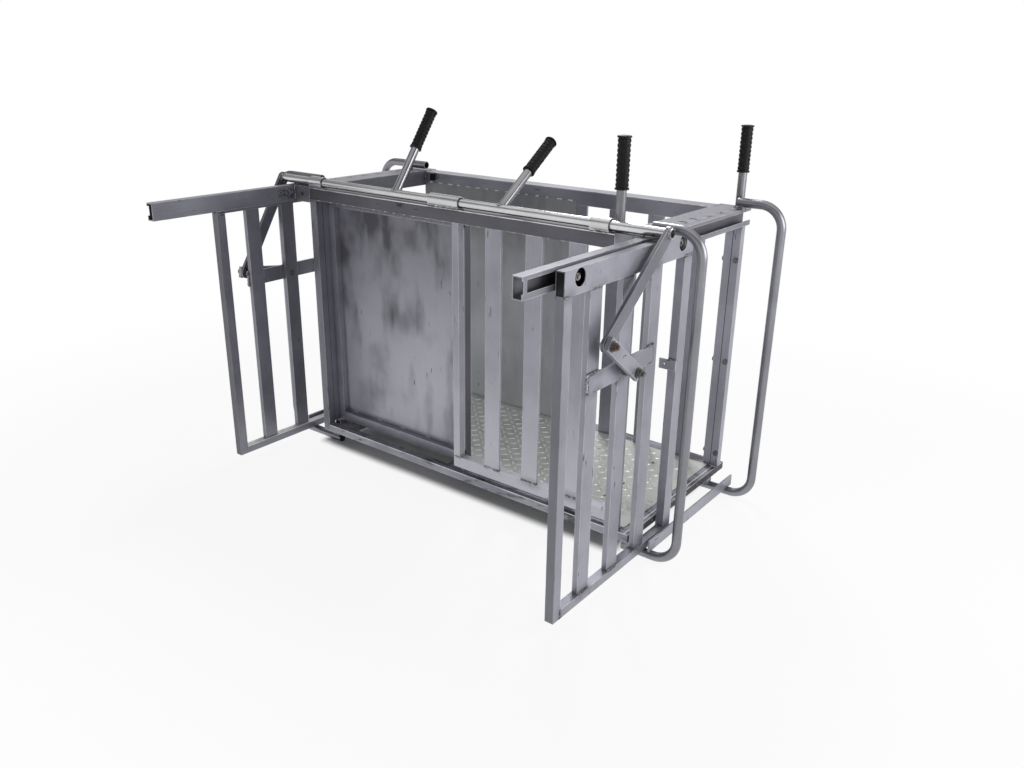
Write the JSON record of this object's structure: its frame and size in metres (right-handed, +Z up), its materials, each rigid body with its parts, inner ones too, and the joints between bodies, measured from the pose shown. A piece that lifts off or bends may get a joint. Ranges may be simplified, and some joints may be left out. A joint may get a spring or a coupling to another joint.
{
  "type": "livestock weighing crate",
  "caption": "Open-topped welded crate for weighing sheep: tread floor, sheeted and slatted sides, and a sliding gate worked by a hand lever, crank and link at each end.",
  "frame": {"origin": "middle of the load bar bolt holes, on the underside of the base", "axes": "+X along the crate, +Y across it away from the lever side, +Z up"},
  "size_m": [1.692, 1.182, 1.2281],
  "materials": {
    "mill_bar": "mill finish, handled",
    "mill_pipe": "drawn pipe, satin",
    "tread": "raised tread plate",
    "sheet": "rolled sheet, stained",
    "grip": "ribbed black grip",
    "bush": "black bearing plastic",
    "fixing": "weathered zinc with rust",
    "roller": "nylon wheel",
    "bumper": "moulded rubber"
  },
  "bodies": {
    "crate": {"base_frame": "mill_bar", "floor_plate": "tread", "post_near_left": "mill_bar", "post_far_left": "mill_bar", "post_near_right": "mill_bar", "post_far_right": "mill_bar", "near_top_rail": "mill_bar", "far_top_rail": "mill_bar", "end_rail_left": "mill_bar", "end_rail_right": "mill_bar", "track_left": "mill_bar", "track_right": "mill_bar", "near_slats": "mill_bar", "panel_frame": "mill_bar", "panel_sheet": "sheet", "far_slats": "mill_bar", "far_sheet": "sheet", "loop_near_left": "mill_pipe", "loop_near_right": "mill_pipe", "loop_far_left": "mill_pipe", "loop_far_right": "mill_pipe", "guide_left": "mill_bar", "guide_right": "mill_bar", "sleeve_left": "mill_pipe", "sleeve_mid": "mill_pipe", "sleeve_right": "mill_pipe", "bush_left": "bush", "bush_mid": "bush", "bush_right": "bush", "hand_post_near": "mill_pipe", "hand_post_far": "mill_pipe", "hand_grip_near": "grip", "hand_grip_far": "grip", "bump_stop": "bumper", "post_bolts": "fixing"},
    "lever_left": {"torque_tube_left": "mill_pipe", "lever_left": "mill_pipe", "grip_left": "grip", "crank_left": "mill_bar", "crank_bolt_left": "fixing"},
    "gate_left": {"gate_frame_left": "mill_bar", "gate_catch_left": "mill_bar", "gate_fixings_left": "fixing"},
    "link_left": {"link_left": "mill_bar", "link_bolt_left": "fixing"},
    "roller_left_out": {"roller_left_out": "roller"},
    "roller_left_in": {"roller_left_in": "roller"},
    "lever_right": {"torque_tube_right": "mill_pipe", "lever_right": "mill_pipe", "grip_right": "grip", "crank_right": "mill_bar", "crank_bolt_right": "fixing"},
    "gate_right": {"gate_frame_right": "mill_bar", "gate_catch_right": "mill_bar", "gate_fixings_right": "fixing"},
    "link_right": {"link_right": "mill_bar", "link_bolt_right": "fixing"},
    "roller_right_out": {"roller_right_out": "roller"},
    "roller_right_in": {"roller_right_in": "roller"}
  },
  "joints": [
    {"name": "gate_left_slide", "type": "slide", "parent": "crate", "child": "gate_left", "axis": [0, 1, 0], "range_m": [0, 0.2972]},
    {"name": "lever_left_turn", "type": "hinge", "parent": "crate", "child": "lever_left", "pos_m": [0, -0.306, 0.912], "axis": [1, 0, 0], "range_deg": [0, 49.02]},
    {"name": "link_left_swing", "type": "hinge", "parent": "gate_left", "child": "link_left", "pos_m": [-0.768, -0.3306, 0.582], "axis": [1, 0, 0], "range_deg": [0, 13.34]},
    {"name": "roller_left_out_spin", "type": "hinge", "parent": "gate_left", "child": "roller_left_out", "pos_m": [-0.6935, -0.5576, 0.8663], "axis": [1, 0, 0], "range_deg": [-811.28, 0]},
    {"name": "roller_left_in_spin", "type": "hinge", "parent": "gate_left", "child": "roller_left_in", "pos_m": [-0.6935, -0.0596, 0.8663], "axis": [1, 0, 0], "range_deg": [-811.28, 0]},
    {"name": "gate_right_slide", "type": "slide", "parent": "crate", "child": "gate_right", "axis": [0, 1, 0], "range_m": [0, 0.42]},
    {"name": "lever_right_turn", "type": "hinge", "parent": "crate", "child": "lever_right", "pos_m": [0, -0.306, 0.912], "axis": [1, 0, 0], "range_deg": [0, 68.03]},
    {"name": "link_right_swing", "type": "hinge", "parent": "gate_right", "child": "link_right", "pos_m": [0.768, -0.4534, 0.582], "axis": [1, 0, 0], "range_deg": [0, 42.9]},
    {"name": "roller_right_out_spin", "type": "hinge", "parent": "gate_right", "child": "roller_right_out", "pos_m": [0.6935, -0.6804, 0.8663], "axis": [1, 0, 0], "range_deg": [-1146.49, 0]},
    {"name": "roller_right_in_spin", "type": "hinge", "parent": "gate_right", "child": "roller_right_in", "pos_m": [0.6935, -0.1824, 0.8663], "axis": [1, 0, 0], "range_deg": [-1146.49, 0]}
  ],
  "couplings": [
    {"joint": "lever_left_turn", "follows": "gate_left_slide", "rad_per_m": 2.8776},
    {"joint": "link_left_swing", "follows": "gate_left_slide", "rad_per_m": 0.78269},
    {"joint": "roller_left_out_spin", "follows": "gate_left_slide", "rad_per_m": -47.619},
    {"joint": "roller_left_in_spin", "follows": "gate_left_slide", "rad_per_m": -47.619},
    {"joint": "lever_right_turn", "follows": "gate_right_slide", "rad_per_m": 2.8258},
    {"joint": "link_right_swing", "follows": "gate_right_slide", "rad_per_m": 1.7818},
    {"joint": "roller_right_out_spin", "follows": "gate_right_slide", "rad_per_m": -47.619},
    {"joint": "roller_right_in_spin", "follows": "gate_right_slide", "rad_per_m": -47.619}
  ]
}
